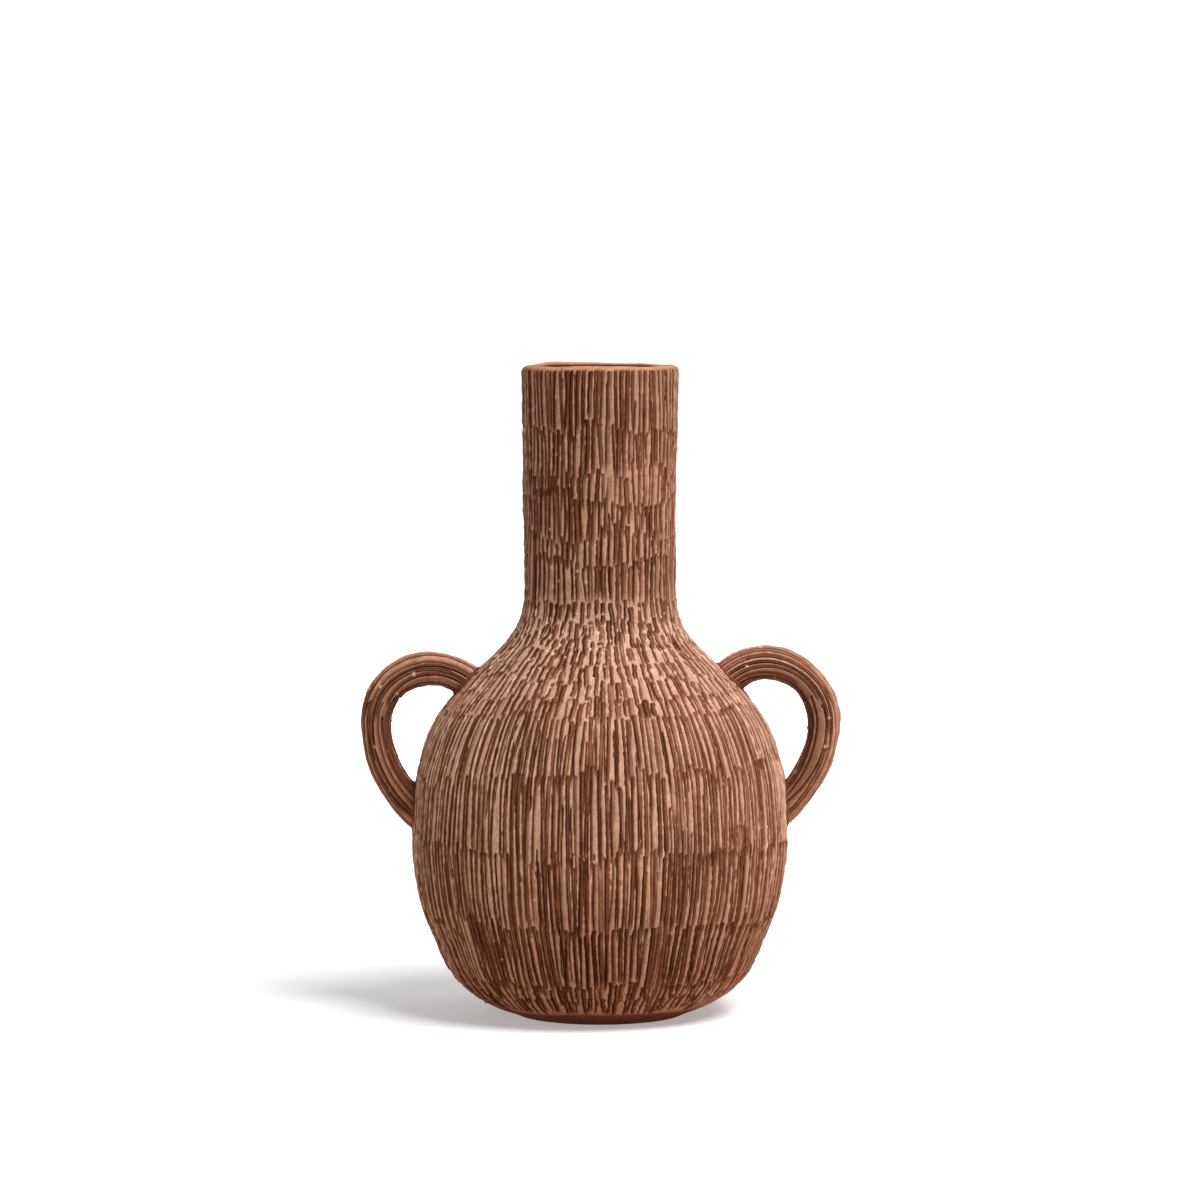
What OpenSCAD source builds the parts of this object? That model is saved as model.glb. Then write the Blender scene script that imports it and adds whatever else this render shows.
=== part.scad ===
// Two-handled earthenware bottle vase, built up from a floor slab, five wall
// courses, a neck cylinder and a rim coil, with two pulled handles luted on.
// Millimetres, +Z up, origin at the centre of the underside, handles along X.

/* [Body] */
// Overall height, from the table to the top of the rim
height = 300; // [290:1:320]
// Radius of the flat underside
foot_r = 38.5; // [36:0.5:41]
// Radius of the wall where the rounded bottom turns up into the belly
turn_r = 75.6; // [74:0.1:77]
// Radius of the belly at its widest
belly_r = 86.3; // [85:0.1:88]
// Height at which the belly is widest
belly_z = 84; // [80:1:88]
// Radius of the shoulder at the middle of its slope
slope_r = 54; // [53:0.5:56]

/* [Neck] */
// Radius of the neck at its narrowest
neck_r = 34.8; // [34.5:0.1:37]
// Radius just under the rim, where the neck has opened a little
rim_r = 36.3; // [36:0.1:39]
// Inner radius of the neck, which is the mouth of the vase
mouth_r = 29; // [27:0.5:29.5]

/* [Clay] */
// Thickness of the wall courses
wall = 6; // [5:0.5:7]
// Thickness of the floor slab
floor_t = 7; // [6:0.5:9]
// Rise of the bevelled joint from the outside to the inside of the wall
lap = 3; // [2:0.5:4]
// Width of the coil pressed into the corner between floor and wall
seam_w = 7; // [5:0.5:9]

/* [Handles] */
// Distance of the handle's outermost centreline from the axis of the vase
handle_reach = 103.5; // [102:0.5:106]
// Height of the outermost point, where the two bends of the handle meet
handle_z = 135; // [132:1:138]
// Radius of the upper bend
bow_r = 26; // [25:0.5:27]
// Radius of the lower, straighter bend
drop_r = 52; // [48:1:56]
// Thickness of the handle, seen from the front
handle_t = 14.6; // [12:0.2:16]
// Width of the handle, from front to back
handle_w = 17; // [14:0.5:20]
// Swelling of the handle at its two roots, as a share of its thickness
root_swell = 0.12; // [0.02:0.02:0.2]
// Thickness of the luting clay round each root
lute_t = 2.6; // [1.8:0.1:3.6]

/* [Hidden] */

clay = "#a0684e";        // bare fired clay
carved_clay = "#8a5a44"; // clay darkened by its carved texture
inner_clay = "#94604a";  // the smoother inside
$fn = 96;

// ---- the side of the vase ----

// The lip is a half circle as thick as the neck's wall at the rim.
lip_r = (rim_r - mouth_r) / 2;
lip_z = height - lip_r;

// Each knot of the side is [radius, height, heading in degrees, reach below, reach above].
knots = [
    [foot_r, 0, 26, 0, 13.5],
    [turn_r, 34, 70, 28, 7.5],
    [belly_r, belly_z, 90, 30, 41],
    [slope_r, 161.5, 137, 31, 26],
    [neck_r, 205, 90, 22, 25],
    [rim_r, lip_z, 89, 30, 0],
];
last_knot = len(knots) - 1;

// Heights of the joints on the outside: floor slab, five wall courses and neck cylinder.
joint_z = [5, 25, 60, 100, 143, 191];
neck_joint = 5;
rim_wall = 3.4; // height of the rim coil under its half round lip
rim_joint_z = lip_z - rim_wall;

foot_steps = 4;
course_steps = 8;
neck_steps = 10;
fine = 0.001;   // step of s used to find the direction of the wall
close = 1e-7;   // how closely a value of s is found

function arm(angle, reach) = reach * [cos(angle), sin(angle)];
function bezier(a, b, c, d, t) =
    pow(1 - t, 3) * a + 3 * pow(1 - t, 2) * t * b + 3 * (1 - t) * t * t * c + pow(t, 3) * d;
function place(knot) = [knot[0], knot[1]];

// Point on the outside of the wall; s runs from 0 at the foot to 5 at the rim.
function side(s) =
    let (i = min(floor(s), last_knot - 1), a = knots[i], b = knots[i + 1])
    bezier(place(a), place(a) + arm(a[2], a[4]), place(b) - arm(b[2], b[3]), place(b), s - i);

// Point on the inside of the wall, across from side(s).
function inside(s) =
    let (d = side(s + fine) - side(s - fine), u = d / norm(d))
    side(s) + wall * [-u[1], u[0]];

// The value of s at a height, found by halving.
function s_at(z, low = 0, high = last_knot) =
    let (mid = (low + high) / 2)
    high - low < close ? mid : (side(mid)[1] < z ? s_at(z, mid, high) : s_at(z, low, mid));

function steps(from, to, n) = [for (i = [0:n]) from + (to - from) * i / n];

// The same for the inside of the wall.
function inner_s_at(z, low, high) =
    let (mid = (low + high) / 2)
    high - low < close ? mid
    : (inside(mid)[1] < z ? inner_s_at(z, mid, high) : inner_s_at(z, low, mid));

// Inside corner where the lowest wall course meets the top of the floor slab.
corner_s = inner_s_at(floor_t, 0.05, 1);
corner = [inside(corner_s)[0], floor_t];

// Ends of joint number i, outside and inside.
function outer_end(i) = s_at(joint_z[i]);
function inner_end(i) = i == 0 ? corner_s : s_at(joint_z[i] + lap);

// Outside of the course between joint i and joint i + 1.
function course_line(i) =
    [for (s = steps(outer_end(i), outer_end(i + 1), course_steps)) side(s)];

// One ring of wall from joint i to joint i + 1, bevelled at both ends.
module course(i) {
    inside_line = [for (s = steps(inner_end(i + 1), inner_end(i), course_steps)) inside(s)];
    rotate_extrude() polygon(concat(course_line(i), inside_line));
}

module floor_slab() {
    edge = [for (s = steps(0, outer_end(0), foot_steps)) side(s)];
    color(clay) rotate_extrude() polygon(concat([[0, 0]], edge, [corner, [0, floor_t]]));
}

module base_wall() { color(carved_clay) course(0); }
module lower_wall() { color(carved_clay) course(1); }
module belly_wall() { color(carved_clay) course(2); }
module upper_belly_wall() { color(carved_clay) course(3); }

// The straight bore of the mouth begins at bore_z, where the shoulder meets the neck inside.
bore_z = joint_z[neck_joint] + lap + 1;
shoulder_end = s_at(joint_z[neck_joint] - lap);

module shoulder_wall() {
    inside_line = [for (s = steps(shoulder_end, inner_end(4), course_steps)) inside(s)];
    color(carved_clay)
        rotate_extrude() polygon(concat(course_line(4), [[mouth_r, bore_z]], inside_line));
}

module neck_cylinder() {
    outside_line = [for (s = steps(outer_end(neck_joint), s_at(rim_joint_z), neck_steps)) side(s)];
    color(carved_clay)
        rotate_extrude() polygon(concat(outside_line, [[mouth_r, rim_joint_z], [mouth_r, bore_z]]));
}

module rim_coil() {
    lip = [for (a = [0:15:180]) [mouth_r + lip_r, lip_z] + arm(a, lip_r)];
    color(clay)
        rotate_extrude() polygon(concat([side(s_at(rim_joint_z))], lip, [[mouth_r, rim_joint_z]]));
}

// Coil pressed into the corner between the floor and the lowest course.
module floor_seam_coil() {
    top_s = inner_s_at(floor_t + 0.6 * seam_w, corner_s, 1.5);
    up_the_wall = [for (s = steps(corner_s, top_s, foot_steps)) inside(s)];
    color(inner_clay)
        rotate_extrude() polygon(concat([[corner[0] - seam_w, floor_t]], up_the_wall));
}

// ---- the handles ----

// The centreline is two arcs that meet at the outermost point. It is followed by its angle,
// from root_low inside the belly to root_top inside the shoulder.
root_low = -58;
low_leave = -50; // where the lower root comes out of the wall
top_leave = 134; // where the upper root comes out of the wall
root_top = 150;
ring_gap = 8;
section_sides = 24;

function bend_r(a) = a > 0 ? bow_r : drop_r;

// Swelling of the section towards the root that angle a is nearest, 1 in the middle.
function swell(a) = 1 + root_swell * pow(min(1, a > 0 ? a / top_leave : a / low_leave), 3);

// Ring of points round the centreline at angle a, grown by extra.
function ring(a, extra) =
    let (out = [cos(a), 0, sin(a)], r = bend_r(a), middle = [handle_reach - r, 0, handle_z])
    [for (i = [0:section_sides - 1])
        let (turn = 360 * i / section_sides)
        middle + (r + (swell(a) * handle_t / 2 + extra) * cos(turn)) * out
        + [0, (swell(a) * handle_w / 2 + extra) * sin(turn), 0]];

// Closed skin over rings that follow each other at rising angles.
module skin(rings) {
    n = section_sides;
    points = [for (r = rings) each r];
    around = [for (j = [0:len(rings) - 2], i = [0:n - 1])
        let (k = (i + 1) % n)
        [j * n + i, (j + 1) * n + i, (j + 1) * n + k, j * n + k]];
    first = [for (i = [0:n - 1]) i];
    last = [for (i = [n - 1:-1:0]) (len(rings) - 1) * n + i];
    polyhedron(points, concat(around, [first, last]), convexity = 6);
}

module handle_bar() {
    skin([for (a = [root_low:ring_gap:root_top]) ring(a, 0)]);
}

// The outside of the three courses that the handles meet, as one solid.
module body_form() {
    line = [for (i = [2:4], k = [0:course_steps - 1]) course_line(i)[k]];
    rotate_extrude() polygon(concat([[0, joint_z[2]]], line, [[0, joint_z[neck_joint]]]));
}

module left_or_right(is_left) {
    rotate(is_left ? 180 : 0) children();
}

module handle(is_left) {
    color(carved_clay)
        left_or_right(is_left)
            difference() {
                handle_bar();
                body_form();
            }
}

// Collar of clay round a root. It follows the bar from its end, inside the wall, and thins
// from lute_t at the wall to almost nothing where it runs out on the handle.
module luting(is_left, is_upper) {
    worked_out = 0.1 * lute_t;
    half_way = 0.45 * lute_t;
    low_rings = [ring(root_low, lute_t), ring(low_leave, lute_t),
                 ring(low_leave + ring_gap, worked_out)];
    top_rings = [ring(top_leave - 2 * ring_gap, worked_out), ring(top_leave - ring_gap, half_way),
                 ring(top_leave, lute_t), ring(root_top, lute_t)];
    color(carved_clay)
        left_or_right(is_left)
            difference() {
                skin(is_upper ? top_rings : low_rings);
                handle_bar();
                body_form();
            }
}

module left_handle() { handle(true); }
module right_handle() { handle(false); }
module left_upper_luting() { luting(true, true); }
module left_lower_luting() { luting(true, false); }
module right_upper_luting() { luting(false, true); }
module right_lower_luting() { luting(false, false); }

floor_slab();
base_wall();
lower_wall();
belly_wall();
upper_belly_wall();
shoulder_wall();
neck_cylinder();
rim_coil();
floor_seam_coil();
left_handle();
right_handle();
left_upper_luting();
left_lower_luting();
right_upper_luting();
right_lower_luting();
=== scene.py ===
"""Carved terracotta bottle vase with two loop handles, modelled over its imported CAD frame."""

import math
from types import SimpleNamespace

import bmesh
import bpy
import numpy as np
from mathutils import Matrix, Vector


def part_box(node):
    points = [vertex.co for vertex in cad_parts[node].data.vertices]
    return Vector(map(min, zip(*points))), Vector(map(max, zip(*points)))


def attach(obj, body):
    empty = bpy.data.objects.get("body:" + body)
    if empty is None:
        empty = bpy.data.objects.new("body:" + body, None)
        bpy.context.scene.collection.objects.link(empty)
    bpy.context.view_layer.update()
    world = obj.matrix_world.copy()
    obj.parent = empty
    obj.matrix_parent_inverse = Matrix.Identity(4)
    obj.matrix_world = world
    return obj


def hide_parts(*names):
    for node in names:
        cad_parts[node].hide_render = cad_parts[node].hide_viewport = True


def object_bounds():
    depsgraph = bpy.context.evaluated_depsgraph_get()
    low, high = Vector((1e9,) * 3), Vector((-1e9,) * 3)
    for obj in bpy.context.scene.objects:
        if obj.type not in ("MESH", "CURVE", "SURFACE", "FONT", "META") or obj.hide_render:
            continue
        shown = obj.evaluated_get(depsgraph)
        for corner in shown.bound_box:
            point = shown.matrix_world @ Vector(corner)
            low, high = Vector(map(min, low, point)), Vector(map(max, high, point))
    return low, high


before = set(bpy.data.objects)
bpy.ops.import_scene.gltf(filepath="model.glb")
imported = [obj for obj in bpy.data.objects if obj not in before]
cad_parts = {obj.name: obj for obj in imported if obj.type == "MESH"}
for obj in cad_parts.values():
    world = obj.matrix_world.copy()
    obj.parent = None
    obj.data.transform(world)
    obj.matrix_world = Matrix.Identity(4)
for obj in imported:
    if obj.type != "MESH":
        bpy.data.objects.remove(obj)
CAD_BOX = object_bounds()

bl_info = {
    "name": "Carved Terracotta Vase",
    "version": (1, 0, 0),
    "blender": (4, 5, 0),
    "location": "View3D > Sidebar > Vase",
    "description": "Builds a hand-carved two-handled terracotta vase piece by piece",
    "category": "Object",
}

MM = 0.001
COURSES = ("base_wall", "lower_wall", "belly_wall", "upper_belly_wall", "shoulder_wall")
SIDES = (("left", -1), ("right", 1))
NECK_COLUMNS = 560  # cells round the neck and the rim, about 0.4 mm each


def linear(hex_colour):
    """Linear RGB of an sRGB hex colour."""
    parts = [int(hex_colour[i:i + 2], 16) / 255 for i in (1, 3, 5)]
    return tuple(c / 12.92 if c <= 0.04045 else ((c + 0.055) / 1.055) ** 2.4 for c in parts)


# ------------------------ what a user may change


def length_setting(label, description, default, low, high=10.0, digits=4):
    """A length that a user may change, in metres."""
    return bpy.props.FloatProperty(name=label, description=description, default=default, min=low,
                                   max=high, unit="LENGTH", subtype="DISTANCE", precision=digits)


def power_setting(label, description, default):
    """The power of a light, in watts."""
    return bpy.props.FloatProperty(name=label, description=description, default=default, min=0,
                                   unit="POWER")


def colour_setting(label, description, hex_colour):
    """A colour, given as an sRGB hex value."""
    return bpy.props.FloatVectorProperty(name=label, description=description, subtype="COLOR",
                                         default=linear(hex_colour), min=0, max=1)


class CarvingSettings(bpy.types.PropertyGroup):
    """The tool marks that cover the vase."""

    crowding: bpy.props.FloatProperty(
        name="Crowding", description="How close the strokes stand, as a share of the usual",
        default=1.0, min=0.6, max=1.4, subtype="FACTOR")
    depth: length_setting("Stroke Depth", "Depth of a stroke at its deepest", 0.0009, 0.0002, 0.0015, 5)
    burr: length_setting("Burr", "Height of the clay thrown up along a stroke", 0.00032, 0.0, 0.0008, 5)
    score_depth: length_setting(
        "Handle Score Depth", "Depth of the lengthwise scores on the handles", 0.0009, 0.0002,
        0.0015, 5)
    seed: bpy.props.IntProperty(
        name="Seed", description="Which hand-made variation of the strokes is used", default=7)


class HandleSettings(bpy.types.PropertyGroup):
    """The two pulled handles, whose centreline is two bends that meet at the outermost point."""

    thickness: length_setting(
        "Thickness", "Thickness of a handle, seen from the front", 0.0146, 0.012, 0.016)
    width: length_setting("Width", "Width of a handle, from front to back", 0.0168, 0.014, 0.02)
    upper_bend: length_setting("Upper Bend", "Radius of the upper bend", 0.026, 0.025, 0.027)
    lower_bend: length_setting("Lower Bend", "Radius of the lower, straighter bend", 0.052, 0.048, 0.056)
    height: length_setting("Height", "Height at which the two bends meet", 0.135, 0.132, 0.138)


class ClaySettings(bpy.types.PropertyGroup):
    """The colours of the fired clay."""

    ridge: colour_setting("Ridge", "Untouched clay between the strokes", "#cfa28a")
    # Painted shade in the strokes: groove in their shallow part, scored as painted shadow in their
    # deepest lines.
    groove: colour_setting("Groove", "Clay in the shallow part of the strokes", "#86553f")
    scored: colour_setting("Scored", "Clay in the deepest lines of the strokes", "#522d1c")
    # The burr colour is pale dry clay with a painted highlight, on edges, crumbs, lumps and the drop.
    burr: colour_setting("Burr", "Dry sandy edges thrown up by the tool", "#e8c0a8")
    handle: colour_setting("Handle", "Rubbed crests of the scored handles", "#bb8971")
    luting: colour_setting("Luting", "Soft clay pressed round the handle roots", "#70432f")
    rim: colour_setting("Rim", "Clay smoothed by hand at the rim", "#eeb692")
    foot: colour_setting("Foot", "Clay at the plain foot", "#8f5a40")
    # Painted shade: the inside colour stands for the shadow inside the vase and the mouth, and on the
    # handles.
    inside: colour_setting("Inside", "Clay inside the vase and in the bend of the handles", "#6c402e")


class StudioSettings(bpy.types.PropertyGroup):
    """The stage round the vase."""

    floor: colour_setting("Floor", "Colour of the floor", "#f6f6f6")
    key: power_setting("Key Light", "Power of the key light", 84.0)
    fill: power_setting("Fill Light", "Power of the fill light", 1.0)
    wash: power_setting("Backdrop Wash", "Power of the light on the backdrop", 140.0)
    ambient: bpy.props.FloatProperty(
        name="Ambient", description="Strength of the light from all round", default=0.08, min=0)
    glow: bpy.props.FloatProperty(
        name="Floor Glow", description="Light given off by the lit paper floor", default=0.36, min=0)
    distance: length_setting("Camera Distance", "Distance from the camera to the vase", 2.4, 1.0)


# ------------------------ outlines from the frame


def node_points(node):
    """Vertices of a CAD node, in mm."""
    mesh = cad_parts[node].data
    points = np.empty(len(mesh.vertices) * 3, np.float32)
    mesh.vertices.foreach_get("co", points)
    matrix = np.array(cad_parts[node].matrix_world)
    return (points.reshape(-1, 3) @ matrix[:3, :3].T + matrix[:3, 3]) / MM


LEAN = 0.1  # how far out or in a face has to point to be part of the wall's outside or inside


def section_corners(node):
    """Outer and inner corners (radius, height) of a turned CAD node, in mm, lowest first."""
    points = node_points(node)
    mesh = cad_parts[node].data
    mesh.calc_loop_triangles()
    corners = np.empty(len(mesh.loop_triangles) * 3, np.int32)
    mesh.loop_triangles.foreach_get("vertices", corners)
    corners = corners.reshape(-1, 3)
    a, b, c = (points[corners[:, i]] for i in range(3))
    normal = np.cross(b - a, c - a)
    normal /= np.linalg.norm(normal, axis=1)[:, None] + 1e-12
    middle = (a + b + c)[:, :2]
    outward = (normal[:, :2] * middle).sum(1) / (np.linalg.norm(middle, axis=1) + 1e-12)
    found = {side: set(corners[outward * side > LEAN].ravel()) for side in (1, -1)}
    lines = []
    for side in found:
        chosen = points[sorted(found[side] - found[-side])]
        pairs = np.c_[np.hypot(chosen[:, 0], chosen[:, 1]), chosen[:, 2]]
        lines.append(pairs[np.argsort(pairs[:, 1])])
    return lines


def smooth_line(points, step=0.1):
    """Points every step mm along a smooth curve through the given ones."""
    gaps = np.linalg.norm(np.diff(points, axis=0), axis=1)
    at = np.r_[0, np.cumsum(gaps)]
    slope = np.gradient(points, at, axis=0)
    fine = np.linspace(0, at[-1], int(at[-1] / step) + 1)
    i = np.clip(np.searchsorted(at, fine, side="right") - 1, 0, len(gaps) - 1)
    h = gaps[i][:, None]
    t = ((fine - at[i]) / gaps[i])[:, None]
    return ((2 * t ** 3 - 3 * t ** 2 + 1) * points[i] + (t ** 3 - 2 * t ** 2 + t) * h * slope[i]
            + (3 * t ** 2 - 2 * t ** 3) * points[i + 1] + (t ** 3 - t ** 2) * h * slope[i + 1])


class Line:
    """A smooth outline in the half plane (radius, height), followed by its length in mm."""

    def __init__(self, points):
        self.points = points
        self.along = np.r_[0, np.cumsum(np.linalg.norm(np.diff(points, axis=0), axis=1))]
        heading = np.gradient(points, self.along, axis=0)
        heading /= np.linalg.norm(heading, axis=1)[:, None]
        self.normal = np.c_[heading[:, 1], -heading[:, 0]]
        self.length = self.along[-1]

    def at(self, along):
        """Points at these lengths."""
        return np.stack([np.interp(along, self.along, self.points[:, i]) for i in (0, 1)], -1)

    def facing(self, along):
        """Outward directions at these lengths."""
        return np.stack([np.interp(along, self.along, self.normal[:, i]) for i in (0, 1)], -1)

    def find(self, height):
        """Length at which the line passes a height, on its way up."""
        rising = self.points[:np.argmax(self.points[:, 1]) + 1, 1]
        return float(np.interp(height, rising, self.along[:len(rising)]))

    def radius(self, height):
        """Radius at a height."""
        rising = np.argmax(self.points[:, 1]) + 1
        return np.interp(height, self.points[:rising, 1], self.points[:rising, 0])


def read_outlines():
    """The outside and the inside of the whole vase as two lines."""
    outside, inside = [], []
    for node in ("floor_slab", *COURSES, "neck_cylinder", "rim_coil"):
        outer, inner = section_corners(node)
        outside += list(outer)
        inside += list(inner)
    return [true_corners(points, side) for points, side in ((outside, 1), (inside, -1))]


SAME_CORNER = 0.3  # corners of two nodes that are nearer in height than this are one, in mm
DENT = 0.8  # a corner this far behind its neighbours is part of a joint, in mm
IN_LINE = 0.004  # a corner this near the line between its neighbours is no corner, in mm


def true_corners(points, side):
    """Corners of one face of the wall, without those on its joints or halfway along a facet."""
    points = sorted(points, key=lambda p: p[1])
    points = [p for i, p in enumerate(points)
              if i == 0 or p[1] - points[i - 1][1] > SAME_CORNER]
    while True:
        line = np.array(points)
        before, here, after = line[:-2], line[1:-1], line[2:]
        share = (here[:, 1] - before[:, 1]) / (after[:, 1] - before[:, 1])
        off = side * (here[:, 0] - before[:, 0] - share * (after[:, 0] - before[:, 0]))
        wrong = np.where(off < -DENT, -off, np.where(np.abs(off) < IN_LINE, 0.1, 0))
        if not wrong.any():
            return line
        points.pop(int(np.argmax(wrong)) + 1)


OUTER_CORNERS, INNER_CORNERS = read_outlines()
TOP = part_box("rim_coil")[1].z / MM
RIM_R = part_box("rim_coil")[1].x / MM
MOUTH_R = float(INNER_CORNERS[:, 0].min())
LIP_R = (RIM_R - MOUTH_R) / 2
FLOOR_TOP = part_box("floor_slab")[1].z / MM


def lip(angles, proud=0.0):
    """Points on the half round lip, 0 degrees on the outside and 180 on the inside."""
    a = np.radians(angles)
    return np.stack([MOUTH_R + LIP_R + (LIP_R + proud) * np.cos(a),
                     TOP - LIP_R + (LIP_R + proud) * np.sin(a)], -1)


def below_lip(corners, lowest=0.0):
    """Corners from a height up to where the lip begins."""
    return corners[(corners[:, 1] > lowest - 0.1) & (corners[:, 1] < TOP - LIP_R + 0.5)]


OUTSIDE = Line(np.vstack([smooth_line(below_lip(OUTER_CORNERS))[:-1], lip(np.arange(0, 91, 2))]))
INSIDE = Line(smooth_line(below_lip(INNER_CORNERS, FLOOR_TOP)))


# ------------------------ the tool marks

# Each row of strokes: height of its top, how far its strokes run on past the tops of the next
# row, pitch and groove width round the vase, all in mm, then its depth as a share of the full
# depth, how ragged it is, and by how many mm its tops differ from one run of strokes to the next.
# The lowest row has no next one, and gives its own length instead.
NECK_ROWS = (
    (298.9, 4, 3.0, 2.5, 1.00, 0.50, 0.5), (271.0, 4, 2.9, 2.4, 0.95, 0.55, 2.4),
    (251, 4, 2.8, 2.3, 0.90, 0.65, 2.2), (241, 4, 2.9, 2.4, 0.95, 0.60, 2.2),
    (225, 4, 2.8, 2.3, 0.90, 0.60, 2.2), (214, 2.5, 3.0, 2.5, 1.00, 0.60, 1.4),
)
SHOULDER_ROWS = (
    (192.2, 2, 3.4, 2.7, 1.05, 0.8, 0.8), (184.5, 2, 3.5, 2.8, 1.10, 1.0, 1.0),
    (178.5, 2, 3.6, 2.9, 1.10, 1.0, 1.2), (172.5, 2, 3.6, 2.8, 1.10, 1.0, 1.4),
    (165.5, 2, 3.6, 2.8, 1.05, 1.0, 1.6), (159, 3, 3.5, 2.8, 1.00, 0.9, 1.8),
    (151.5, 3, 3.4, 2.7, 1.00, 0.8, 1.6),
)
BELLY_ROWS = (
    (144.5, 5, 2.9, 2.4, 1.00, 0.6, 2.2), (118, 5, 2.9, 2.4, 0.95, 0.6, 4.0),
    (84, 5, 2.9, 2.4, 1.00, 0.5, 2.0), (50, 4, 3.0, 2.5, 1.10, 0.6, 2.4),
    (22, 3, 3.0, 2.5, 1.10, 0.9, 1.0), (15, 14, 3.0, 2.5, 1.10, 0.9, 1.0),
)
# Thin scratches between the strokes, which give their own length too.
SCRATCH_ROWS = (
    (285, 30, 4.5, 1.1, 0.80, 0.7, 9.0), (240, 30, 4.5, 1.1, 0.80, 0.7, 9.0),
    (137, 30, 4.5, 1.1, 0.85, 0.7, 7.0), (112, 34, 4.5, 1.1, 0.85, 0.7, 9.0),
    (77, 34, 4.5, 1.1, 0.85, 0.7, 8.0), (45, 28, 4.5, 1.1, 0.85, 0.7, 6.0),
)
SAME_COUNT = 6  # stroke counts go by sixes, so that rows near each other interleave
BEGIN = 0.8  # length in mm over which a stroke goes down to its full depth
TAIL = 6  # length in mm over which it runs out, or TAIL_SHARE of its own if that is less
TAIL_SHARE = 0.3
LINE_WIDE = 0.33  # half width in mm of the dark lines cut by the corners of the tool
BURR_LOST = 0.35  # depth in mm at which a stroke has cut away what an earlier one threw up
CRUMB_ROW = (74, 5, 4.2, 2.2, 0.5, 1.0, 1.5)  # short strokes, of which most leave only a crumb
LUMPS = ((150, 190, 300), (8, 292, 90))  # lumps of clay: from one height to another, how many
LUMP_SIZE = 0.7  # about their radius in mm
FOOT_EDGE = 6.2  # height where the carving stops above the plain foot
CARVED_TO = 299.4  # height on the lip where the carving stops
RIM_PLAIN = 298.2  # height above which the rim is smoothed and pale


def ease(x):
    """Smooth step from 0 to 1."""
    x = np.clip(x, 0, 1)
    return x * x * (3 - 2 * x)


def drift(rng, angle, waves, size):
    """Smooth random function of an angle that closes on itself, about size high."""
    total = np.zeros_like(angle)
    for k in range(1, waves + 1):
        total = total + rng.normal() * np.sin(k * angle + rng.uniform(0, 2 * math.pi)) / k ** 0.5
    return size * total / waves ** 0.5


def runs(rng, count, shortest, longest, size):
    """One random value for each run of neighbouring strokes made in one go."""
    values = []
    while len(values) < count:
        values += [rng.normal() * size] * int(rng.integers(shortest, longest + 1))
    return np.array(values[:count])


def make_row(rng, count, top, length, width, depth, ragged, scatter=0.5, shift=0.0):
    """The strokes of one row, in mm, with their hand-made differences.

    Across a stroke, notch is the place of its deepest line, from 0 at the left edge to 1 at the
    right one, shelf the depth of the rest of its floor, and second the depth of its second line,
    both as shares of its depth.
    """
    angle = (np.arange(count) + 0.5) / count * 2 * math.pi
    return {
        "count": count,
        "shift": rng.normal(0, 0.05 + 0.09 * ragged, count) + shift,
        "top": top + drift(rng, angle, 5, 0.5 + 0.5 * scatter)
               + runs(rng, count, 3, 11, 0.8 * scatter)
               + rng.normal(0, 0.3 + (0.5 + 0.35 * scatter) * ragged * ease(scatter), count),
        "length": length * np.clip(1 + runs(rng, count, 3, 9, 0.06) + rng.normal(0, 0.1, count),
                                   0.6, 1.5),
        "depth": depth * np.clip(1 + rng.normal(0, 0.18, count), 0.5, 1.5),
        "half": width / 2 * np.clip(1 + rng.normal(0, 0.12 + 0.06 * ragged, count), 0.6, 1.4),
        "notch": rng.uniform(0.14, 0.24, count),
        "shelf": rng.uniform(0.4, 0.62, count),
        "second": np.clip(rng.normal(0.3, 0.35, count), 0, 0.85),
        "slant": drift(rng, angle, 6, 0.02) + runs(rng, count, 4, 10, 0.007)
                 + rng.normal(0, 0.004 + 0.022 * ragged, count),
        "bend": rng.normal(0, 0.2 + 0.25 * ragged, count),
        "wobble": 0.02 + 0.16 * ragged ** 2 * rng.uniform(0.3, 1, count),
        "burr": np.abs(rng.normal(0.5, 0.6, (2, count))) * np.array([[1.2], [0.5]]),
        "crumb": np.clip(rng.normal(-0.15 + 0.45 * ragged, 0.6, count), 0, 1.6),
        "phase": rng.uniform(0, 2 * math.pi, count),
    }


def carve(rows, angle, along, radius, burr_height):
    """Depth cut and clay thrown up, in mm, on a grid of angles (columns) by lengths (rows).

    Each point takes the deepest of the four strokes nearest to it in every row.
    """
    cut = np.zeros((len(along), len(angle)))
    burr = np.zeros_like(cut)
    turn = angle / (2 * math.pi)
    for row in rows:
        high = row["top"].max() + 2
        low = (row["top"] - row["length"]).min() - 2
        band = np.flatnonzero((along > low) & (along < high))
        if not len(band):
            continue
        here = along[band][:, None]
        wide = radius[band][:, None] * 2 * math.pi
        base = np.floor(turn * row["count"] - 0.5).astype(int)
        for step in (-1, 0, 1, 2):
            i = (base + step) % row["count"]
            pick = {k: v[..., i] for k, v in row.items() if k != "count"}
            groove, thrown = one_stroke(pick, here, turn, wide, (i + pick["shift"]) / row["count"])
            cut[band] = np.maximum(cut[band], groove)
            burr[band] = np.maximum(burr[band], burr_height * thrown)
    return cut, burr * (1 - 0.85 * ease(cut / BURR_LOST))


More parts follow.
